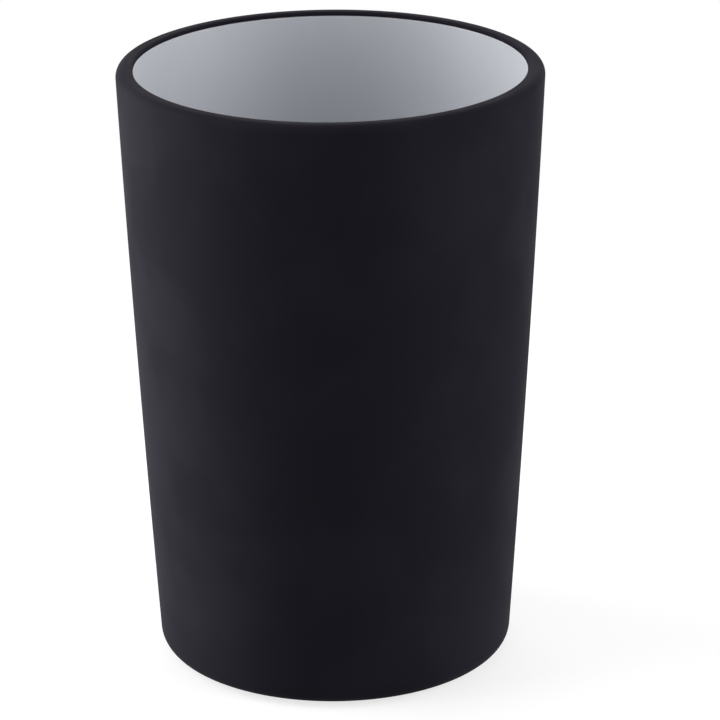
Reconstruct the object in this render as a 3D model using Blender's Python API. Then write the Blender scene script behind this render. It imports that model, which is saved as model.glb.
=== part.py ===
"""Toothbrush cup, in metres, +Z up, with its origin on the table under the middle of the cup.

A soft black sleeve with a rolled lip covers a pale rigid liner. The sleeve's lip lies over the
liner's rim and a bead under it locks in a groove round the liner. Below, the sleeve turns in as a
flange. A cover traps that flange against the liner's foot skirt, is held there by sprung hooks,
and carries the soft ring that the cup stands on.
"""

import math

import bmesh
import bpy
from mathutils import Matrix, Vector

# The whole cup
CUP_HEIGHT = 0.1059          # table to the crest of the lip
MOUTH_DIAMETER = 0.0730      # across the outside at the lip
FOOT_DIAMETER = 0.0616       # across the outside where the wall's line meets the underside
WALL_CROWN = 0.0003          # how far the wall swells from a straight taper at mid height
FIT_GAP = 0.0003             # clearance between pieces that seat on each other
EDGE_RADIUS = 0.0002         # broken edge of a moulding

# Outer shell
SHELL_WALL = 0.0012
SHELL_CORNER = 0.0032        # outside radius from the wall to the underside
SHELL_INNER_CORNER = 0.0020  # inside radius from the wall to the flange
LIP_OUTER_RADIUS = 0.0015
LIP_INNER_RADIUS = 0.00065
FLANGE_LAND = 0.0006         # flat underside between the corner and the cover's rebate
FLANGE_GRIP = 0.0018         # width of the flange's thin margin, which the cover traps
FLANGE_MARGIN = 0.0011       # thickness of that margin
REBATE_DEPTH = 0.0011        # how deep the cover's rim sits in the flange

# Inner liner
LINER_WALL = 0.0015
LINER_FLOOR = 0.0015
LINER_CORNER = 0.0038        # inside radius from the wall to the floor
RIM_LAND = 0.0004            # flat width of the rim beside the bore
RIM_FALL = 0.0009            # how far the rim slopes down from that land to its outside
RIM_BAND = 0.0012            # full wall between the rim's slope and the locking groove
LOCK_HEIGHT = 0.0022         # height of the locking groove at its mouth
LOCK_FLOOR_SHARE = 0.5       # height of the groove's floor as a share of its mouth
LOCK_DEPTH_SHARE = 0.4       # depth of the groove as a share of the liner's wall

# Foot skirt under the liner's floor, and its catch for the cover's hooks
SKIRT_SETBACK = 0.0004       # from the flange's bore out to the skirt's bore
SKIRT_WALL = 0.0014
SKIRT_ROOT = 0.0005          # inside radius from the skirt to the floor
CATCH_DEPTH = 0.0007
CATCH_LAND = 0.0004          # height of the catch's inner face
CATCH_LEAD = 0.0010          # height of the slope that leads the hooks in

# Base cover
HOOK_WALL = 0.0012
HOOK_LAND = 0.0004           # height of the hook's outer face
HOOK_LEAD = 0.0005           # height of the slope above it
HOOK_HEADROOM = 0.0005       # from the hooks to the liner's floor
SLOT_COUNT = 6
SLOT_WIDTH = 0.0024
SLOT_SILL = 0.0004           # what is left of the ring at the foot of each slot
COVER_RECESS = 0.0006        # depth of the hollow in the underside
GROOVE_MARGIN = 0.0009       # from the cover's step in to the foot ring's groove
GROOVE_WIDTH = 0.0036
GROOVE_ROOF = 0.0011         # thickness of the cover above the groove
GROOVE_LAND = 0.0012         # flat underside between the groove and the hollow
GATE_RADIUS = 0.0028         # dimple in the middle of the underside, where the cover was moulded from
GATE_DEPTH = 0.0003
STUB_RADIUS = 0.0008         # stub left in the dimple where the feed broke off
STUB_HEIGHT = 0.00015

# Foot ring
FOOT_PROUD = 0.0004          # how far the ring lifts the rest off the table
RING_EDGE = 0.0005

# How finely round forms are cut
SEGMENTS = 64
WALL_STEPS = 5
ARC_SAG = 0.00004            # most that an arc's chords may stray from it
SHARP_ANGLE = math.radians(35)
WELD = 0.000001              # points nearer than this are one point
OVERRUN = 0.001              # how far a cutter passes the faces it cuts

# Finishes: colour and roughness
SOFT_BLACK = (0.0093, 0.0087, 0.0130), 0.8
PALE_GREY = (0.605, 0.62, 0.66), 0.4
SATIN_BLACK = (0.012, 0.012, 0.013), 0.45
GRIP_GREY = (0.035, 0.035, 0.037), 0.75

# Heights, from the table up
REBATE_LEDGE = FOOT_PROUD + REBATE_DEPTH
FLANGE_TOP = REBATE_LEDGE + FLANGE_MARGIN
SKIRT_END = FLANGE_TOP + FIT_GAP
CATCH_TOP = SKIRT_END + CATCH_LEAD + CATCH_LAND
HOOK_UNDERSIDE = CATCH_TOP + FIT_GAP
HOOK_TOP = HOOK_UNDERSIDE + HOOK_LAND + HOOK_LEAD
FLOOR_UNDERSIDE = HOOK_TOP + HOOK_HEADROOM
FLOOR_TOP = FLOOR_UNDERSIDE + LINER_FLOOR
GROOVE_TOP = FLANGE_TOP - GROOVE_ROOF
LIP_FOOT = CUP_HEIGHT - LIP_INNER_RADIUS
RIM_TOP = LIP_FOOT - FIT_GAP
LOCK_TOP = RIM_TOP - RIM_FALL - RIM_BAND

# Radii near the foot, from the outside in
REBATE_RADIUS = FOOT_DIAMETER / 2 - SHELL_CORNER - FLANGE_LAND
COVER_RADIUS = REBATE_RADIUS - FIT_GAP
FLANGE_BORE = REBATE_RADIUS - FLANGE_GRIP
COVER_STEP = FLANGE_BORE - FIT_GAP
SKIRT_BORE = FLANGE_BORE + SKIRT_SETBACK
SKIRT_RADIUS = SKIRT_BORE + SKIRT_WALL
CATCH_BORE = SKIRT_BORE - CATCH_DEPTH
HOOK_REACH = SKIRT_BORE - FIT_GAP
HOOK_RADIUS = CATCH_BORE - FIT_GAP
HOOK_BORE = HOOK_RADIUS - HOOK_WALL
GROOVE_RADIUS = COVER_STEP - GROOVE_MARGIN
GROOVE_BORE = GROOVE_RADIUS - GROOVE_WIDTH
HOLLOW_RADIUS = GROOVE_BORE - GROOVE_LAND


def skin_radius(z):
    """Outside radius of the cup at a height: a straight taper with a slight crown."""
    share = (z - FOOT_PROUD) / (CUP_HEIGHT - FOOT_PROUD)
    straight = (FOOT_DIAMETER + share * (MOUTH_DIAMETER - FOOT_DIAMETER)) / 2
    return straight + WALL_CROWN * 4 * share * (1 - share)


def shell_bore(z):
    return skin_radius(z) - SHELL_WALL


def liner_skin(z):
    return shell_bore(z) - FIT_GAP


def liner_bore(z):
    return liner_skin(z) - LINER_WALL


def wall_levels():
    """Heights, going up, at which every wall has a ring of points between its foot and its lip."""
    return [FOOT_PROUD + (CUP_HEIGHT - FOOT_PROUD) * step / WALL_STEPS for step in range(1, WALL_STEPS)]


def arc(centre, start, turn):
    """Points from start round a centre, through an angle, both ends included."""
    spoke = start - centre
    widest = 2 * math.acos(max(0, 1 - ARC_SAG / spoke.length))
    steps = math.ceil(abs(turn) / widest)
    return [centre + Matrix.Rotation(turn * step / steps, 2) @ spoke for step in range(steps + 1)]


def rounded(corners):
    """Outline of (radius, height, fillet) corners, each with its fillet cut as an arc.

    Fillets that would overrun the edge between them share that edge.
    """
    points = [Vector(corner[:2]) for corner in corners]
    before = [points[index - 1] - point for index, point in enumerate(points)]
    after = [points[(index + 1) % len(points)] - point for index, point in enumerate(points)]
    halves = [one.angle(other) / 2 for one, other in zip(before, after)]
    reaches = [corner[2] / math.tan(half) for corner, half in zip(corners, halves)]
    for index, edge in enumerate(after):
        following = (index + 1) % len(points)
        wanted = reaches[index] + reaches[following]
        if wanted > edge.length:
            reaches[index] *= edge.length / wanted
            reaches[following] *= edge.length / wanted
    outline = []
    for point, one, other, half, reach in zip(points, before, after, halves, reaches):
        if reach < WELD:
            outline.append(point)
            continue
        start = point + one.normalized() * reach
        middle = one.normalized() + other.normalized()
        centre = point + middle.normalized() * reach / math.cos(half)
        side = math.copysign(1, other.cross(one))
        outline += arc(centre, start, side * (math.pi - 2 * half))
    return outline


def offset(outline, gap):
    """An open outline moved sideways by a gap, to its left, with mitred corners."""
    moved = []
    for index, point in enumerate(outline):
        arriving = point - outline[index - 1] if index else outline[1] - point
        leaving = outline[index + 1] - point if index < len(outline) - 1 else arriving
        first = arriving.orthogonal().normalized()
        second = leaving.orthogonal().normalized()
        mitre = (first + second).normalized()
        moved.append(point + mitre * gap / mitre.dot(first))
    return moved


def material(name, finish):
    """A Principled material of one colour and roughness."""
    colour, roughness = finish
    made = bpy.data.materials.new(name)
    made.use_nodes = True
    shader = made.node_tree.nodes["Principled BSDF"]
    shader.inputs["Base Color"].default_value = (*colour, 1)
    shader.inputs["Roughness"].default_value = roughness
    shader.inputs["Metallic"].default_value = 0
    return made


def mesh_object(name, bm, surface):
    """Weld a bmesh into a named object with its material, round faces shaded smooth."""
    bmesh.ops.remove_doubles(bm, verts=bm.verts, dist=WELD)
    bmesh.ops.recalc_face_normals(bm, faces=bm.faces)
    mesh = bpy.data.meshes.new(name)
    bm.to_mesh(mesh)
    bm.free()
    mesh.shade_smooth()
    mesh.set_sharp_from_angle(angle=SHARP_ANGLE)
    made = bpy.data.objects.new(name, mesh)
    bpy.context.scene.collection.objects.link(made)
    if surface:
        mesh.materials.append(surface)
    return made


def turned(name, outline, surface):
    """Solid turned round the Z axis. An outline that starts on the axis also ends there."""
    bm = bmesh.new()
    rings = [bm.verts.new((point.x, 0, point.y)) for point in outline]
    edges = [bm.edges.new(pair) for pair in zip(rings, rings[1:])]
    if outline[0].x > 0:
        edges.append(bm.edges.new((rings[-1], rings[0])))
    bmesh.ops.spin(
        bm, geom=rings + edges, cent=(0, 0, 0), axis=(0, 0, 1),
        angle=math.tau, steps=SEGMENTS, use_merge=True,
    )
    return mesh_object(name, bm, surface)


def liner_outside():
    """The liner's outside from its rim down to its lowest wall ring, where the sleeve lies on it."""
    bore = liner_bore(RIM_TOP)
    slope_foot = RIM_TOP - RIM_FALL
    flank = LOCK_HEIGHT * (1 - LOCK_FLOOR_SHARE) / 2
    lock_foot = LOCK_TOP - LOCK_HEIGHT
    lock_radius = liner_skin(LOCK_TOP) - LINER_WALL * LOCK_DEPTH_SHARE
    rim = [
        (bore, RIM_TOP),
        (bore + RIM_LAND, RIM_TOP),
        (liner_skin(slope_foot), slope_foot),
        (liner_skin(LOCK_TOP), LOCK_TOP),
        (lock_radius, LOCK_TOP - flank),
        (lock_radius, lock_foot + flank),
        (liner_skin(lock_foot), lock_foot),
    ]
    wall = [(liner_skin(z), z) for z in reversed(wall_levels())]
    return [Vector(point) for point in rim + wall]


def build_outer_shell():
    """Soft sleeve: crowned wall, rolled lip over the liner's rim, flange turned in at the foot."""
    corners = [(FOOT_DIAMETER / 2, FOOT_PROUD, SHELL_CORNER)]
    corners += [(skin_radius(z), z, 0) for z in wall_levels()]
    corners += [
        (MOUTH_DIAMETER / 2, CUP_HEIGHT, LIP_OUTER_RADIUS),
        (liner_bore(RIM_TOP), CUP_HEIGHT, LIP_INNER_RADIUS),
    ]
    corners += [(point.x, point.y, 0) for point in offset(liner_outside(), FIT_GAP)]
    corners += [
        (shell_bore(FLANGE_TOP), FLANGE_TOP, SHELL_INNER_CORNER),
        (FLANGE_BORE, FLANGE_TOP, EDGE_RADIUS),
        (FLANGE_BORE, REBATE_LEDGE, 0),
        (REBATE_RADIUS, REBATE_LEDGE, 0),
        (REBATE_RADIUS, FOOT_PROUD, EDGE_RADIUS),
    ]
    return turned("outer_shell", rounded(corners), material("soft_black", SOFT_BLACK))


def build_inner_liner():
    """Rigid cup that holds the water, with a foot skirt below its floor and a catch inside it."""
    corner_radius = LINER_CORNER + LINER_WALL
    corner_height = FLOOR_UNDERSIDE + corner_radius
    corner_centre = Vector((liner_skin(corner_height) - corner_radius, corner_height))
    swing = math.acos((SKIRT_RADIUS - corner_centre.x) / corner_radius)
    skirt_top = corner_centre + Vector((SKIRT_RADIUS - corner_centre.x, -math.sin(swing) * corner_radius))
    corners = [
        (0, FLOOR_UNDERSIDE, 0),
        (SKIRT_BORE, FLOOR_UNDERSIDE, SKIRT_ROOT),
        (SKIRT_BORE, CATCH_TOP, 0),
        (CATCH_BORE, CATCH_TOP, 0),
        (CATCH_BORE, CATCH_TOP - CATCH_LAND, 0),
        (SKIRT_BORE, SKIRT_END, 0),
        (SKIRT_RADIUS, SKIRT_END, EDGE_RADIUS),
    ]
    corners += [(point.x, point.y, 0) for point in arc(corner_centre, skirt_top, swing)]
    corners += [(point.x, point.y, 0) for point in reversed(liner_outside()[1:])]
    corners += [(liner_bore(RIM_TOP), RIM_TOP, EDGE_RADIUS)]
    corners += [(liner_bore(z), z, 0) for z in reversed(wall_levels())]
    corners += [
        (liner_bore(FLOOR_TOP), FLOOR_TOP, LINER_CORNER),
        (0, FLOOR_TOP, 0),
    ]
    return turned("inner_liner", rounded(corners), material("pale_grey", PALE_GREY))


def slot_cutter():
    """Blocks, one through the hook ring at each slot."""
    bm = bmesh.new()
    inner = HOOK_BORE - OVERRUN
    outer = HOOK_REACH + OVERRUN
    foot = FLANGE_TOP + SLOT_SILL
    top = HOOK_TOP + OVERRUN
    size = Matrix.Diagonal((outer - inner, SLOT_WIDTH, top - foot, 1))
    place = Matrix.Translation(((inner + outer) / 2, 0, (foot + top) / 2))
    for slot in range(SLOT_COUNT):
        turn = Matrix.Rotation(math.tau * slot / SLOT_COUNT, 4, "Z")
        bmesh.ops.create_cube(bm, size=1, matrix=turn @ place @ size)
    cutter = mesh_object("slot_cutter", bm, None)
    cutter.hide_render = True
    cutter.display_type = "WIRE"
    return cutter


def build_base_cover():
    """Cover under the cup: rim that traps the flange, groove for the foot ring, ring of hooks."""
    hollow = FOOT_PROUD + COVER_RECESS
    gate = hollow + GATE_DEPTH
    corners = [
        (0, gate - STUB_HEIGHT, 0),
        (STUB_RADIUS, gate - STUB_HEIGHT, 0),
        (STUB_RADIUS, gate, 0),
        (GATE_RADIUS - GATE_DEPTH, gate, 0),
        (GATE_RADIUS, hollow, 0),
        (HOLLOW_RADIUS - COVER_RECESS, hollow, 0),
        (HOLLOW_RADIUS, FOOT_PROUD, 0),
        (GROOVE_BORE, FOOT_PROUD, 0),
        (GROOVE_BORE, GROOVE_TOP, 0),
        (GROOVE_RADIUS, GROOVE_TOP, 0),
        (GROOVE_RADIUS, FOOT_PROUD, 0),
        (COVER_RADIUS, FOOT_PROUD, EDGE_RADIUS),
        (COVER_RADIUS, REBATE_LEDGE - FIT_GAP, 0),
        (COVER_STEP, REBATE_LEDGE - FIT_GAP, 0),
        (COVER_STEP, FLANGE_TOP, 0),
        (HOOK_RADIUS, FLANGE_TOP, 0),
        (HOOK_RADIUS, HOOK_UNDERSIDE, 0),
        (HOOK_REACH, HOOK_UNDERSIDE, 0),
        (HOOK_REACH, HOOK_UNDERSIDE + HOOK_LAND, 0),
        (HOOK_RADIUS, HOOK_TOP, 0),
        (HOOK_BORE, HOOK_TOP, 0),
        (HOOK_BORE, FLANGE_TOP, 0),
        (0, FLANGE_TOP, 0),
    ]
    cover = turned("base_cover", rounded(corners), material("satin_black", SATIN_BLACK))
    cut = cover.modifiers.new("slots", "BOOLEAN")
    cut.operation = "DIFFERENCE"
    cut.solver = "EXACT"
    cut.object = slot_cutter()
    return cover


def build_foot_ring():
    """Soft ring pressed into the cover's groove. The cup stands on its flat underside."""
    corners = [
        (GROOVE_BORE + FIT_GAP, 0, RING_EDGE),
        (GROOVE_RADIUS - FIT_GAP, 0, RING_EDGE),
        (GROOVE_RADIUS - FIT_GAP, GROOVE_TOP - FIT_GAP, 0),
        (GROOVE_BORE + FIT_GAP, GROOVE_TOP - FIT_GAP, 0),
    ]
    return turned("foot_ring", rounded(corners), material("grip_grey", GRIP_GREY))


def main():
    for old in list(bpy.data.objects):
        bpy.data.objects.remove(old)
    build_outer_shell()
    build_inner_liner()
    build_base_cover()
    build_foot_ring()


main()
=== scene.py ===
"""Looks of the toothbrush cup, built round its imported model, in metres.

Every piece is turned. Its outline is a row of (radius, height, fillet) corners, which are rounded
and spun round Z. The finishes are put together from shared node groups.
"""

import math

import bmesh
import bpy
from mathutils import Matrix, Vector


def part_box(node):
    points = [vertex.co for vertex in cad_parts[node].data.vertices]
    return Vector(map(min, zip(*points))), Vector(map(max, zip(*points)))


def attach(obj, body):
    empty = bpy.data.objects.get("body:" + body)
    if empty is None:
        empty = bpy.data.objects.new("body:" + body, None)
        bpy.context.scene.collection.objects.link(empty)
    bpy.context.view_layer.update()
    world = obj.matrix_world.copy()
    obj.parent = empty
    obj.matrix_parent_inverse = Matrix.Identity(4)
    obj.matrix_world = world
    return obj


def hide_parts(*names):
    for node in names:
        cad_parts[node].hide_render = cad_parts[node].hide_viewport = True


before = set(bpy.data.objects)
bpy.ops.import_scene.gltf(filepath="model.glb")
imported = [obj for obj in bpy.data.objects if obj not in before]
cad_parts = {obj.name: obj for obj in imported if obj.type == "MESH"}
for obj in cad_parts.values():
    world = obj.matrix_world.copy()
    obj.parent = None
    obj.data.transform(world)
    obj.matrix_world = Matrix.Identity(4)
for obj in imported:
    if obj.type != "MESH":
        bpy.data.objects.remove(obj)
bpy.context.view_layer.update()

# Sizes that the frame gives
SLEEVE_FOOT, CUP_HEIGHT = (corner.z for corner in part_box("outer_shell"))
SKIRT_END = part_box("inner_liner")[0].z
COVER_RADIUS, _, HOOK_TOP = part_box("base_cover")[1]
RING_RADIUS, _, RING_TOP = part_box("foot_ring")[1]

# All pieces
FIT_GAP = 0.0003             # clearance between pieces that seat on each other
EDGE_RADIUS = 0.0002         # broken edge of a moulding

# Sleeve
MOUTH_RADIUS = 0.036495      # a hair under the solid's, so that the finer curve stays in its box
FOOT_RADIUS = 0.0308
WALL_CROWN = 0.0003          # how far the wall swells from a straight taper at mid height
SEAM = 0.00005               # how tightly the lip closes on the liner's rim
SHELL_WALL = 0.0012
SHELL_CORNER = 0.0032        # outside radius from the wall to the underside
SHELL_INNER_CORNER = 0.0020  # inside radius from the wall to the flange
LIP_OUTER_RADIUS = 0.0015
LIP_INNER_RADIUS = 0.00065
FLANGE_MARGIN = 0.0011       # thickness of the flange's thin margin, which the cover traps
FLANGE_GRIP = 0.0018         # width of that margin

# Liner
LINER_WALL = 0.0015
LINER_FLOOR = 0.0015
LINER_CORNER = 0.0038        # inside radius from the wall to the floor
RIM_LAND = 0.0004            # flat width of the rim beside the bore
RIM_FALL = 0.0009            # how far the rim slopes down from that land to its outside
RIM_BAND = 0.0012            # full wall between the rim's slope and the locking groove
LOCK_HEIGHT = 0.0022         # height of the locking groove at its mouth
LOCK_FLANK = 0.00055         # height of each of its sloped sides
LOCK_DEPTH = 0.0006
SKIRT_SETBACK = 0.0004       # from the flange's bore out to the skirt's bore
SKIRT_WALL = 0.0014
SKIRT_ROOT = 0.0005          # inside radius from the skirt to the floor
CATCH_DEPTH = 0.0007
CATCH_LAND = 0.0004          # height of the catch's inner face
CATCH_LEAD = 0.0010          # height of the slope that leads the hooks in

# Cover and foot ring
HOOK_WALL = 0.0012
HOOK_LAND = 0.0004           # height of the hook's outer face
HOOK_LEAD = 0.0005           # height of the slope above it
HOOK_HEADROOM = 0.0005       # from the hooks to the liner's floor
SLOT_COUNT = 6
SLOT_WIDTH = 0.0024
SLOT_SILL = 0.0004           # what is left of the ring at the foot of each slot
COVER_RECESS = 0.0006        # depth of the hollow in the underside
GROOVE_WIDTH = 0.0036
GROOVE_LAND = 0.0012         # flat underside between the groove and the hollow
COVER_EDGE = 0.00012
GATE_RADIUS = 0.0028         # dimple in the middle of the underside, where the cover was moulded
GATE_DEPTH = 0.0003
STUB_RADIUS = 0.0008         # stub left in the dimple where the feed broke off
STUB_HEIGHT = 0.00015
RING_EDGE = 0.0005

# How finely round forms are cut
SEGMENTS = 192
WALL_STEP = 0.0044
ARC_STEP = math.radians(6)
BEND = math.radians(1)       # an outline that turns more than this has its long edges held there
HOLD = 0.00005               # how near to the bend a long edge is cut
LONG_EDGE = 0.0003
SHARP_ANGLE = math.radians(35)
WELD = 0.000001              # points nearer than this are one point
OVERRUN = 0.001              # how far a cutter passes the faces it cuts
MITRE_SHARE = math.tan(math.pi / 8)  # how far a 45 degree corner shifts, as a share of the gap

# Heights and radii that follow
FLANGE_TOP = SKIRT_END - FIT_GAP
REBATE_LEDGE = FLANGE_TOP - FLANGE_MARGIN
CATCH_TOP = SKIRT_END + CATCH_LEAD + CATCH_LAND
HOOK_UNDERSIDE = HOOK_TOP - HOOK_LEAD - HOOK_LAND
FLOOR_UNDERSIDE = HOOK_TOP + HOOK_HEADROOM
FLOOR_TOP = FLOOR_UNDERSIDE + LINER_FLOOR
LIP_FOOT = CUP_HEIGHT - LIP_INNER_RADIUS
GROOVE_TOP = RING_TOP + FIT_GAP
REBATE_RADIUS = COVER_RADIUS + FIT_GAP
FLANGE_BORE = REBATE_RADIUS - FLANGE_GRIP
COVER_STEP = FLANGE_BORE - FIT_GAP
SKIRT_BORE = FLANGE_BORE + SKIRT_SETBACK
SKIRT_RADIUS = SKIRT_BORE + SKIRT_WALL
CATCH_BORE = SKIRT_BORE - CATCH_DEPTH
HOOK_REACH = SKIRT_BORE - FIT_GAP
HOOK_RADIUS = CATCH_BORE - FIT_GAP
HOOK_BORE = HOOK_RADIUS - HOOK_WALL
GROOVE_RADIUS = RING_RADIUS + FIT_GAP
GROOVE_BORE = GROOVE_RADIUS - GROOVE_WIDTH
HOLLOW_RADIUS = GROOVE_BORE - GROOVE_LAND

# Finishes, as linear colours
SOFT_BLACK = (0.0108, 0.0104, 0.0158, 1)
SOFT_BLACK_HANDLED = (0.0125, 0.0120, 0.0182, 1)
SOFT_BLACK_GLOSS = (1.0, 0.80, 0.66, 1)
PALE_GREY = (0.615, 0.63, 0.67, 1)
PALE_GREY_SHADE = (0.595, 0.61, 0.655, 1)
COVER_BLACK = (0.012, 0.012, 0.013, 1)
COVER_BLACK_SHADE = (0.015, 0.015, 0.016, 1)
GRIP_GREY = (0.035, 0.035, 0.037, 1)
GRIP_GREY_SHADE = (0.042, 0.042, 0.044, 1)
DUST = (0.30, 0.29, 0.27, 1)
PLAIN = (0.5, 0.5, 0.5, 1)

# Between which levels of their noise these effects set in, and how fine that noise is
HANDLED_FROM, HANDLED_TO = 0.40, 0.64
HANDLED_DETAIL = 4.0
RUBBED_FROM, RUBBED_TO = 0.35, 0.65
RUBBED_DETAIL = 3.0
GRAIN_DETAIL = 2.0
WAVE_DETAIL = 1.0
DUST_FROM, DUST_TO = -0.6, 1.0  # how far a surface faces up where dust begins and where it is full

# Camera: where it stands, which way it looks and its lens
CAMERA_PLACE = (0, -0.6479, 0.2915)
CAMERA_PITCH = math.radians(20.255)
CAMERA_YAW = math.radians(0.414)
CAMERA_ROLL = math.radians(-0.39)
CAMERA_LENS = 198.3
CAMERA_REACH = 20            # it sees past the floor's edge

# Room and floor
ROOM_LEVEL = 0.21            # the white room's light on the cup
FLOOR_TONE = 0.4
FLOOR_LIFT = 0.72            # what is added to the floor where it is seen, so that it looks white
FLOOR_RADIUS = 6
FADE_START = 0.10            # from here the floor fades into the room, out to FADE_END
FADE_END = 0.30

# Lamps, each with its azimuth and elevation in degrees, its width and height, and its power.
# Azimuth 0 is the camera's side, and 90 is on its right.
SOFTBOX_REACH = 1.2
SOFTBOXES = [
    ("left_softbox", -92, 20, 1.3, 1.0, 12.9),
    ("high_left_softbox", -92, 48, 1.0, 0.8, 3.4),
    ("low_left_softbox", -100, 0, 1.0, CUP_HEIGHT, 14),
    ("right_softbox", 75, 20, 1.0, 1.0, 10),
    ("low_right_softbox", 75, 0, 1.0, CUP_HEIGHT, 3),
    ("back_softbox", 180, 35, 1.0, 0.8, 5),
    ("top_softbox", 0, 88, 0.8, 0.8, 1.0),
]


def skin_radius(z):
    """Outside radius of the cup at a height: a straight taper with a slight crown."""
    share = (z - SLEEVE_FOOT) / (CUP_HEIGHT - SLEEVE_FOOT)
    return FOOT_RADIUS + share * (MOUTH_RADIUS - FOOT_RADIUS) + WALL_CROWN * 4 * share * (1 - share)


def shell_bore(z):
    return skin_radius(z) - SHELL_WALL


def liner_skin(z):
    return shell_bore(z) - FIT_GAP


def liner_bore(z):
    return liner_skin(z) - LINER_WALL


def wall(radius, low, high):
    """Corners up a crowned wall, between two heights, where radius gives the wall's radius."""
    steps = math.ceil(abs(high - low) / WALL_STEP)
    levels = [low + (high - low) * step / steps for step in range(1, steps)]
    return [(radius(z), z, 0) for z in levels]


def rim(top, gap):
    """Corners from the rim's land down past the locking groove, a gap clear of the liner."""
    nip = gap * MITRE_SHARE
    slope_foot = CUP_HEIGHT - LIP_INNER_RADIUS - FIT_GAP - RIM_FALL
    lock_top = slope_foot - RIM_BAND
    lock_foot = lock_top - LOCK_HEIGHT
    lock_radius = liner_skin(lock_top) - LOCK_DEPTH
    bore = liner_bore(LIP_FOOT)
    return [
        (bore + RIM_LAND + nip, top, 0),
        (liner_skin(slope_foot) + gap, slope_foot + nip, 0),
        (liner_skin(lock_top) + gap, lock_top - nip, 0),
        (lock_radius + gap, lock_top - LOCK_FLANK - nip, 0),
        (lock_radius + gap, lock_foot + LOCK_FLANK + nip, 0),
        (liner_skin(lock_foot) + gap, lock_foot + nip, 0),
    ]


def fillet(bm, corner, radius):
    """Round one corner of an outline, tangent to both its edges."""
    first, second = (edge.other_vert(corner).co - corner.co for edge in corner.link_edges)
    inside = first.angle(second)
    bmesh.ops.bevel(
        bm, geom=[corner], offset=radius / math.tan(inside / 2), offset_type="OFFSET",
        segments=math.ceil((math.pi - inside) / ARC_STEP), profile=0.5, affect="VERTICES",
        clamp_overlap=False, material=-1,
    )


def hold_bends(bm):
    """Cut long edges close to where the outline turns, so that shading stays true between."""
    for vert in list(bm.verts):
        if len(vert.link_edges) < 2:
            continue
        first, second = (edge.other_vert(vert).co - vert.co for edge in vert.link_edges)
        if math.pi - first.angle(second) < BEND:
            continue
        for edge in list(vert.link_edges):
            if edge.calc_length() > LONG_EDGE:
                bmesh.utils.edge_split(edge, vert, HOLD / edge.calc_length())


def order_faces(bm):
    """Put the faces in the order of their points, which is otherwise another one in each run."""
    bm.verts.index_update()
    points = {face: sorted(vert.index for vert in face.verts) for face in bm.faces}
    places = {face: place for place, face in enumerate(sorted(bm.faces, key=points.get))}
    bm.faces.sort(key=places.get)


def finished(name, bm):
    """Weld a bmesh into a named object, faces outwards, round faces shaded smooth."""
    bmesh.ops.remove_doubles(bm, verts=bm.verts, dist=WELD)
    order_faces(bm)
    bmesh.ops.recalc_face_normals(bm, faces=bm.faces)
    mesh = bpy.data.meshes.new(name)
    bm.to_mesh(mesh)
    bm.free()
    mesh.shade_smooth()
    mesh.set_sharp_from_angle(angle=SHARP_ANGLE)
    made = bpy.data.objects.new(name, mesh)
    bpy.context.scene.collection.objects.link(made)
    return made


def turned(name, corners):
    """Solid of a closed outline. One that starts on the axis also ends there."""
    bm = bmesh.new()
    verts = [bm.verts.new((radius, 0, height)) for radius, height, _ in corners]
    for pair in zip(verts, verts[1:]):
        bm.edges.new(pair)
    if corners[0][0] > 0:
        bm.edges.new((verts[-1], verts[0]))
    for vert, (_, _, radius) in zip(verts, corners):
        if radius:
            fillet(bm, vert, radius)
    bmesh.ops.remove_doubles(bm, verts=bm.verts, dist=WELD)
    hold_bends(bm)
    bmesh.ops.spin(
        bm, geom=bm.verts[:] + bm.edges[:], cent=(0, 0, 0), axis=(0, 0, 1),
        angle=math.tau, steps=SEGMENTS, use_merge=True,
    )
    return finished(name, bm)


def build_soft_sleeve():
    """Sleeve: crowned wall, rolled lip closed on the liner's rim, flange turned in at the foot."""
    inside = rim(LIP_FOOT, FIT_GAP)
    corners = [(FOOT_RADIUS, SLEEVE_FOOT, SHELL_CORNER)]
    corners += wall(skin_radius, SLEEVE_FOOT, CUP_HEIGHT)
    corners += [
        (MOUTH_RADIUS, CUP_HEIGHT, LIP_OUTER_RADIUS),
        (liner_bore(LIP_FOOT), CUP_HEIGHT, LIP_INNER_RADIUS),
        (liner_bore(LIP_FOOT), LIP_FOOT, 0),
    ]
    corners += inside
    corners += wall(shell_bore, inside[-1][1], FLANGE_TOP)
    corners += [
        (shell_bore(FLANGE_TOP), FLANGE_TOP, SHELL_INNER_CORNER),
        (FLANGE_BORE, FLANGE_TOP, EDGE_RADIUS),
        (FLANGE_BORE, REBATE_LEDGE, 0),
        (REBATE_RADIUS, REBATE_LEDGE, 0),
        (REBATE_RADIUS, SLEEVE_FOOT, EDGE_RADIUS),
    ]
    return turned("soft_sleeve", corners)


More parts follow.
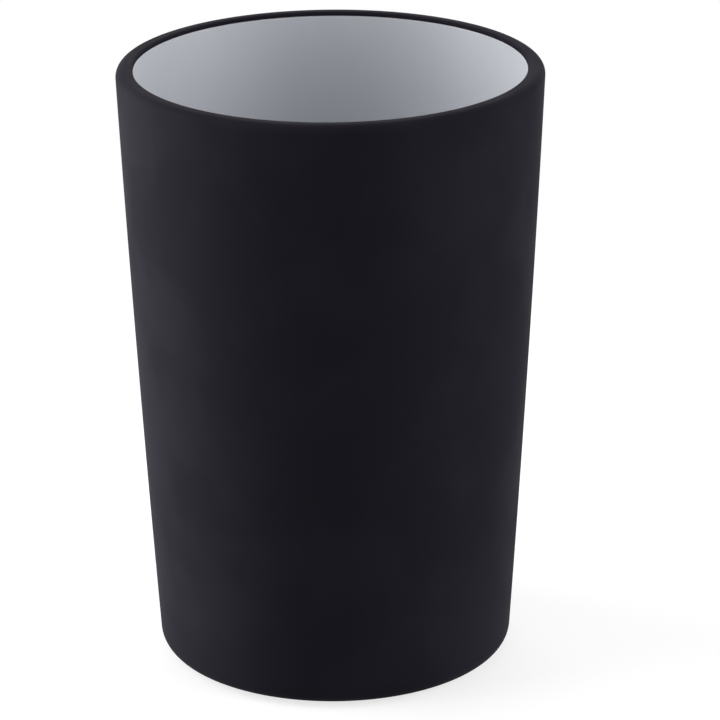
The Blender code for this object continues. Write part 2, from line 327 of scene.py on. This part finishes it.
def build_moulded_liner():
    """Liner: the cup that holds the water, with its foot skirt and the catch inside it."""
    top = LIP_FOOT - SEAM
    outside = rim(top, 0)
    outer_corner = LINER_CORNER + LINER_WALL
    corner_height = FLOOR_UNDERSIDE + outer_corner
    corner_radius = liner_skin(corner_height)
    swing = math.acos((SKIRT_RADIUS - corner_radius + outer_corner) / outer_corner)
    corners = [
        (0, FLOOR_UNDERSIDE, 0),
        (SKIRT_BORE, FLOOR_UNDERSIDE, SKIRT_ROOT),
        (SKIRT_BORE, CATCH_TOP, 0),
        (CATCH_BORE, CATCH_TOP, 0),
        (CATCH_BORE, CATCH_TOP - CATCH_LAND, 0),
        (SKIRT_BORE, SKIRT_END, 0),
        (SKIRT_RADIUS, SKIRT_END, EDGE_RADIUS),
        (SKIRT_RADIUS, corner_height - math.sin(swing) * outer_corner, 0),
        (corner_radius, corner_height - math.tan(swing / 2) * outer_corner, outer_corner),
    ]
    corners += wall(liner_skin, corner_height, outside[-1][1])
    corners += reversed(outside)
    corners += [(liner_bore(LIP_FOOT), top, EDGE_RADIUS)]
    corners += wall(liner_bore, top, FLOOR_TOP)
    corners += [
        (liner_bore(FLOOR_TOP), FLOOR_TOP, LINER_CORNER),
        (0, FLOOR_TOP, 0),
    ]
    return turned("moulded_liner", corners)


def slot_cutter():
    """Blocks, one through the hook ring at each slot."""
    bm = bmesh.new()
    inner = HOOK_BORE - OVERRUN
    outer = HOOK_REACH + OVERRUN
    foot = FLANGE_TOP + SLOT_SILL
    top = HOOK_TOP + OVERRUN
    size = Matrix.Diagonal((outer - inner, SLOT_WIDTH, top - foot, 1))
    place = Matrix.Translation(((inner + outer) / 2, 0, (foot + top) / 2))
    for slot in range(SLOT_COUNT):
        turn = Matrix.Rotation(math.tau * slot / SLOT_COUNT, 4, "Z")
        bmesh.ops.create_cube(bm, size=1, matrix=turn @ place @ size)
    return finished("slot_cutter", bm)


def carve(piece, cutter):
    """Cut a piece with another object, which is then removed."""
    cut = piece.modifiers.new("slots", "BOOLEAN")
    cut.operation = "DIFFERENCE"
    cut.solver = "EXACT"
    cut.object = cutter
    shown = piece.evaluated_get(bpy.context.evaluated_depsgraph_get())
    piece.data = bpy.data.meshes.new_from_object(shown)
    piece.modifiers.clear()
    piece.data.set_sharp_from_angle(angle=SHARP_ANGLE)
    bpy.data.objects.remove(cutter)


def build_clip_cover():
    """Cover: rim round the flange, groove for the foot ring, slotted ring of hooks inside."""
    hollow = SLEEVE_FOOT + COVER_RECESS
    gate = hollow + GATE_DEPTH
    corners = [
        (0, gate - STUB_HEIGHT, 0),
        (STUB_RADIUS, gate - STUB_HEIGHT, COVER_EDGE),
        (STUB_RADIUS, gate, 0),
        (GATE_RADIUS - GATE_DEPTH, gate, COVER_EDGE),
        (GATE_RADIUS, hollow, COVER_EDGE),
        (HOLLOW_RADIUS - COVER_RECESS, hollow, COVER_EDGE),
        (HOLLOW_RADIUS, SLEEVE_FOOT, COVER_EDGE),
        (GROOVE_BORE, SLEEVE_FOOT, COVER_EDGE),
        (GROOVE_BORE, GROOVE_TOP, 0),
        (GROOVE_RADIUS, GROOVE_TOP, 0),
        (GROOVE_RADIUS, SLEEVE_FOOT, COVER_EDGE),
        (COVER_RADIUS, SLEEVE_FOOT, EDGE_RADIUS),
        (COVER_RADIUS, REBATE_LEDGE - FIT_GAP, 0),
        (COVER_STEP, REBATE_LEDGE - FIT_GAP, 0),
        (COVER_STEP, FLANGE_TOP, 0),
        (HOOK_RADIUS, FLANGE_TOP, 0),
        (HOOK_RADIUS, HOOK_UNDERSIDE, 0),
        (HOOK_REACH, HOOK_UNDERSIDE, 0),
        (HOOK_REACH, HOOK_UNDERSIDE + HOOK_LAND, 0),
        (HOOK_RADIUS, HOOK_TOP, 0),
        (HOOK_BORE, HOOK_TOP, 0),
        (HOOK_BORE, FLANGE_TOP, 0),
        (0, FLANGE_TOP, 0),
    ]
    cover = turned("clip_cover", corners)
    carve(cover, slot_cutter())
    return cover


def build_standing_ring():
    """Soft ring in the cover's groove, flat where the cup stands on it."""
    bore = GROOVE_BORE + FIT_GAP
    corners = [
        (bore, 0, RING_EDGE),
        (RING_RADIUS, 0, RING_EDGE),
        (RING_RADIUS, RING_TOP, 0),
        (bore, RING_TOP, 0),
    ]
    return turned("standing_ring", corners)


def put(socket, value):
    """Link a socket to an output, or set its value."""
    if isinstance(value, bpy.types.NodeSocket):
        socket.id_data.links.new(value, socket)
    else:
        socket.default_value = value


def node(tree, kind, inputs=None, **settings):
    """A new node with its settings and its inputs, each a value or a link."""
    made = tree.nodes.new(kind)
    for name, value in settings.items():
        setattr(made, name, value)
    for name, value in (inputs or {}).items():
        put(made.inputs[name], value)
    return made


def calculate(tree, operation, first, second):
    return node(tree, "ShaderNodeMath", {0: first, 1: second}, operation=operation).outputs[0]


def blend_colours(tree, factor, first, second):
    """First colour where the factor is 0, second where it is 1. Mix has its colours at 6, 7 and 2."""
    mix = node(tree, "ShaderNodeMix", {0: factor, 6: first, 7: second}, data_type="RGBA")
    return mix.outputs[2]


def blend_values(tree, factor, first, second):
    return node(tree, "ShaderNodeMix", {0: factor, 2: first, 3: second}).outputs[0]


def noise(tree, place, size, detail):
    """Noise from 0 to 1 whose patches are about as large as size."""
    scale = calculate(tree, "DIVIDE", 1.0, size)
    made = node(tree, "ShaderNodeTexNoise", {"Vector": place, "Scale": scale, "Detail": detail})
    return made.outputs["Fac"]


def ramp(tree, value, low, high):
    """0 below low and 1 above high, with a smooth rise between."""
    inputs = {"Value": value, "From Min": low, "From Max": high}
    return node(tree, "ShaderNodeMapRange", inputs, interpolation_type="SMOOTHSTEP").outputs[0]


def new_group(name, inputs, outputs):
    """Node group with {name: default} inputs and {name: type} outputs."""
    tree = bpy.data.node_groups.new(name, "ShaderNodeTree")
    kinds = {tuple: "NodeSocketColor", float: "NodeSocketFloat", Vector: "NodeSocketVector"}
    for title, default in inputs.items():
        socket = tree.interface.new_socket(title, in_out="INPUT", socket_type=kinds[type(default)])
        socket.default_value = default
    for title, kind in outputs.items():
        tree.interface.new_socket(title, in_out="OUTPUT", socket_type=kinds[kind])
    return tree, tree.nodes.new("NodeGroupInput").outputs, tree.nodes.new("NodeGroupOutput").inputs


def build_mould_texture():
    """Fine grain of a textured mould over a slow waviness, as a height in metres."""
    tree, given, result = new_group(
        "mould_texture",
        {
            "Place": Vector(), "Grain Size": 0.0003, "Grain Depth": 0.000004,
            "Wave Size": 0.01, "Wave Depth": 0.00002,
        },
        {"Height": float},
    )
    grain = noise(tree, given["Place"], given["Grain Size"], GRAIN_DETAIL)
    wave = noise(tree, given["Place"], given["Wave Size"], WAVE_DETAIL)
    grain_height = calculate(tree, "MULTIPLY", grain, given["Grain Depth"])
    wave_height = calculate(tree, "MULTIPLY", wave, given["Wave Depth"])
    put(result["Height"], calculate(tree, "ADD", grain_height, wave_height))
    return tree


def build_handled_surface():
    """A finish that handling has changed in soft patches: another colour and roughness."""
    tree, given, result = new_group(
        "handled_surface",
        {
            "Place": Vector(), "Patch Size": 0.02, "Colour": PLAIN, "Handled Colour": PLAIN,
            "Roughness": 0.5, "Handled Roughness": 0.5,
        },
        {"Colour": tuple, "Roughness": float},
    )
    blotches = noise(tree, given["Place"], given["Patch Size"], HANDLED_DETAIL)
    patches = ramp(tree, blotches, HANDLED_FROM, HANDLED_TO)
    colour = blend_colours(tree, patches, given["Colour"], given["Handled Colour"])
    roughness = blend_values(tree, patches, given["Roughness"], given["Handled Roughness"])
    put(result["Colour"], colour)
    put(result["Roughness"], roughness)
    return tree


def build_rubbed_edge():
    """Mask of a turned edge at a height, rubbed smooth in places."""
    tree, given, result = new_group(
        "rubbed_edge",
        {"Place": Vector(), "Edge Height": 0.0, "Reach": 0.001, "Patch Size": 0.004},
        {"Mask": float},
    )
    height = node(tree, "ShaderNodeSeparateXYZ", {0: given["Place"]}).outputs["Z"]
    above = calculate(tree, "SUBTRACT", height, given["Edge Height"])
    distance = calculate(tree, "ABSOLUTE", above, 0.0)
    near = calculate(tree, "SUBTRACT", 1.0, ramp(tree, distance, 0.0, given["Reach"]))
    blotches = noise(tree, given["Place"], given["Patch Size"], RUBBED_DETAIL)
    patches = ramp(tree, blotches, RUBBED_FROM, RUBBED_TO)
    put(result["Mask"], calculate(tree, "MULTIPLY", near, patches))
    return tree


def build_settled_dust():
    """Mask of a few fine specks, thicker where the surface faces up."""
    tree, given, result = new_group(
        "settled_dust",
        {"Place": Vector(), "Facing": Vector(), "Spacing": 0.003, "Speck": 0.03},
        {"Mask": float},
    )
    scale = calculate(tree, "DIVIDE", 1.0, given["Spacing"])
    cells = node(tree, "ShaderNodeTexVoronoi", {"Vector": given["Place"], "Scale": scale})
    chance = node(tree, "ShaderNodeSeparateXYZ", {0: cells.outputs["Color"]}).outputs["X"]
    size = calculate(tree, "MULTIPLY", given["Speck"], chance)
    speck = calculate(tree, "LESS_THAN", cells.outputs["Distance"], size)
    upward = node(tree, "ShaderNodeSeparateXYZ", {0: given["Facing"]}).outputs["Z"]
    lying = ramp(tree, upward, DUST_FROM, DUST_TO)
    put(result["Mask"], calculate(tree, "MULTIPLY", speck, lying))
    return tree


mould_texture = build_mould_texture()
handled_surface = build_handled_surface()
rubbed_edge = build_rubbed_edge()
settled_dust = build_settled_dust()


def place_group(tree, group, inputs):
    """A node group placed in a tree with its own values."""
    made = tree.nodes.new("ShaderNodeGroup")
    made.node_tree = group
    for name, value in inputs.items():
        put(made.inputs[name], value)
    return made.outputs


def finish_material(name, shader_values, surface, texture, rubbed, dust):
    """Material from the shared groups: patchy surface, rubbed edges, dust and mould texture.

    Each row of rubbed is an edge's height, how far the rubbing reaches, its colour and roughness.
    """
    made = bpy.data.materials.new(name)
    made.use_nodes = True
    tree = made.node_tree
    shader = tree.nodes["Principled BSDF"]
    for socket, value in shader_values.items():
        shader.inputs[socket].default_value = value
    spot = tree.nodes.new("ShaderNodeTexCoord").outputs
    here = {"Place": spot["Object"]}
    skin = place_group(tree, handled_surface, here | surface)
    colour, roughness = skin["Colour"], skin["Roughness"]
    for edge_height, reach, edge_colour, edge_roughness in rubbed:
        edge = {"Edge Height": edge_height, "Reach": reach}
        mask = place_group(tree, rubbed_edge, here | edge)["Mask"]
        colour = blend_colours(tree, mask, colour, edge_colour)
        roughness = blend_values(tree, mask, roughness, edge_roughness)
    specks = place_group(tree, settled_dust, here | {"Facing": spot["Normal"]} | dust)["Mask"]
    put(shader.inputs["Base Color"], blend_colours(tree, specks, colour, DUST))
    put(shader.inputs["Roughness"], roughness)
    height = place_group(tree, mould_texture, here | texture)["Height"]
    bump = node(tree, "ShaderNodeBump", {"Strength": 1, "Distance": 1, "Height": height})
    put(shader.inputs["Normal"], bump.outputs["Normal"])
    return made


def soft_black():
    return finish_material(
        "soft_black",
        {"Specular IOR Level": 0.047, "Specular Tint": SOFT_BLACK_GLOSS},
        {
            "Patch Size": 0.018, "Colour": SOFT_BLACK, "Handled Colour": SOFT_BLACK_HANDLED,
            "Roughness": 0.82, "Handled Roughness": 0.75,
        },
        {"Grain Size": 0.0003, "Grain Depth": 0.000008, "Wave Size": 0.012, "Wave Depth": 0.00002},
        [(CUP_HEIGHT, 0.0006, SOFT_BLACK, 0.75), (SLEEVE_FOOT, 0.0010, SOFT_BLACK_HANDLED, 0.68)],
        {"Spacing": 0.004, "Speck": 0.02},
    )


def satin_grey():
    return finish_material(
        "satin_grey",
        {"Specular IOR Level": 0.5},
        {
            "Patch Size": 0.03, "Colour": PALE_GREY, "Handled Colour": PALE_GREY_SHADE,
            "Roughness": 0.38, "Handled Roughness": 0.44,
        },
        {"Grain Size": 0.0005, "Grain Depth": 0.000003, "Wave Size": 0.009, "Wave Depth": 0.00003},
        [(LIP_FOOT - SEAM, 0.0006, PALE_GREY, 0.3)],
        {"Spacing": 0.005, "Speck": 0.015},
    )


def moulded_black():
    return finish_material(
        "moulded_black",
        {"Specular IOR Level": 0.5},
        {
            "Patch Size": 0.012, "Colour": COVER_BLACK, "Handled Colour": COVER_BLACK_SHADE,
            "Roughness": 0.45, "Handled Roughness": 0.52,
        },
        {"Grain Size": 0.0004, "Grain Depth": 0.000016, "Wave Size": 0.01, "Wave Depth": 0.00002},
        [(SLEEVE_FOOT, 0.0003, COVER_BLACK_SHADE, 0.35)],
        {"Spacing": 0.004, "Speck": 0.02},
    )


def grip_rubber():
    return finish_material(
        "grip_rubber",
        {"Specular IOR Level": 0.3},
        {
            "Patch Size": 0.008, "Colour": GRIP_GREY, "Handled Colour": GRIP_GREY_SHADE,
            "Roughness": 0.75, "Handled Roughness": 0.82,
        },
        {"Grain Size": 0.0004, "Grain Depth": 0.000010, "Wave Size": 0.006, "Wave Depth": 0.00002},
        [(0.0, 0.0003, GRIP_GREY_SHADE, 0.6)],
        {"Spacing": 0.003, "Speck": 0.03},
    )


def dress(piece, material, replaced):
    """Give a piece its finish and let it stand for a node of the frame."""
    piece.data.materials.clear()
    piece.data.materials.append(material)
    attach(piece, "root")
    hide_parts(replaced)


def seen_directly(tree):
    """1 for the rays by which the camera, gloss and clear pieces see a background, else 0."""
    path = tree.nodes.new("ShaderNodeLightPath").outputs
    glossy = calculate(tree, "MAXIMUM", path["Is Camera Ray"], path["Is Glossy Ray"])
    return calculate(tree, "MAXIMUM", glossy, path["Is Transmission Ray"])


def build_room():
    """World that lights softly and looks white."""
    world = bpy.data.worlds.new("room")
    world.use_nodes = True
    tree = world.node_tree
    strength = blend_values(tree, seen_directly(tree), ROOM_LEVEL, 1.0)
    background = tree.nodes["Background"]
    background.inputs["Color"].default_value = (1, 1, 1, 1)
    put(background.inputs["Strength"], strength)
    bpy.context.scene.world = world


def build_floor():
    """Pale floor that keeps the cup's shadow and fades into the white room, clear from below."""
    bm = bmesh.new()
    bmesh.ops.create_circle(bm, cap_ends=True, radius=FLOOR_RADIUS, segments=SEGMENTS)
    floor = finished("floor", bm)
    surface = bpy.data.materials.new("pale_floor")
    surface.use_nodes = True
    tree = surface.node_tree
    tree.nodes.remove(tree.nodes["Principled BSDF"])
    seen = seen_directly(tree)
    place = tree.nodes.new("ShaderNodeTexCoord").outputs["Object"]
    distance = node(tree, "ShaderNodeVectorMath", {0: place}, operation="LENGTH").outputs["Value"]
    fade = calculate(tree, "MULTIPLY", seen, ramp(tree, distance, FADE_START, FADE_END))
    tone = (FLOOR_TONE, FLOOR_TONE, FLOOR_TONE, 1)
    lit = node(tree, "ShaderNodeBsdfDiffuse", {"Color": tone}).outputs[0]
    lift_strength = calculate(tree, "MULTIPLY", seen, FLOOR_LIFT)
    lift = node(tree, "ShaderNodeEmission", {"Strength": lift_strength}).outputs[0]
    near = node(tree, "ShaderNodeAddShader", {0: lit, 1: lift}).outputs[0]
    far = node(tree, "ShaderNodeEmission", {"Strength": 1.0}).outputs[0]
    top = node(tree, "ShaderNodeMixShader", {0: fade, 1: near, 2: far}).outputs[0]
    below = tree.nodes.new("ShaderNodeNewGeometry").outputs["Backfacing"]
    clear = tree.nodes.new("ShaderNodeBsdfTransparent").outputs[0]
    both = node(tree, "ShaderNodeMixShader", {0: below, 1: top, 2: clear}).outputs[0]
    put(tree.nodes["Material Output"].inputs["Surface"], both)
    floor.data.materials.append(surface)


def build_softbox(name, azimuth, elevation, width, height, power):
    """Area light aimed at the middle of the cup."""
    light = bpy.data.lights.new(name, "AREA")
    light.shape = "RECTANGLE"
    light.size = width
    light.size_y = height
    light.energy = power
    box = bpy.data.objects.new(name, light)
    turn = Matrix.Rotation(math.radians(azimuth), 4, "Z")
    tilt = Matrix.Rotation(math.radians(90 - elevation), 4, "X")
    middle = Matrix.Translation((0, 0, CUP_HEIGHT / 2))
    box.matrix_world = middle @ turn @ tilt @ Matrix.Translation((0, 0, SOFTBOX_REACH))
    box.visible_camera = False
    bpy.context.scene.collection.objects.link(box)


def build_camera():
    """Camera at the photograph's viewing angle."""
    lens = bpy.data.cameras.new("camera")
    lens.lens = CAMERA_LENS
    lens.clip_end = CAMERA_REACH
    camera = bpy.data.objects.new("camera", lens)
    turn = Matrix.Rotation(-CAMERA_YAW, 4, "Z")
    tilt = Matrix.Rotation(math.pi / 2 - CAMERA_PITCH, 4, "X")
    roll = Matrix.Rotation(CAMERA_ROLL, 4, "Z")
    camera.matrix_world = Matrix.Translation(CAMERA_PLACE) @ turn @ tilt @ roll
    bpy.context.scene.collection.objects.link(camera)
    bpy.context.scene.camera = camera


dress(build_soft_sleeve(), soft_black(), "outer_shell")
dress(build_moulded_liner(), satin_grey(), "inner_liner")
dress(build_clip_cover(), moulded_black(), "base_cover")
dress(build_standing_ring(), grip_rubber(), "foot_ring")

build_room()
build_floor()
for softbox in SOFTBOXES:
    build_softbox(*softbox)
build_camera()
bpy.context.scene.view_settings.view_transform = "Standard"
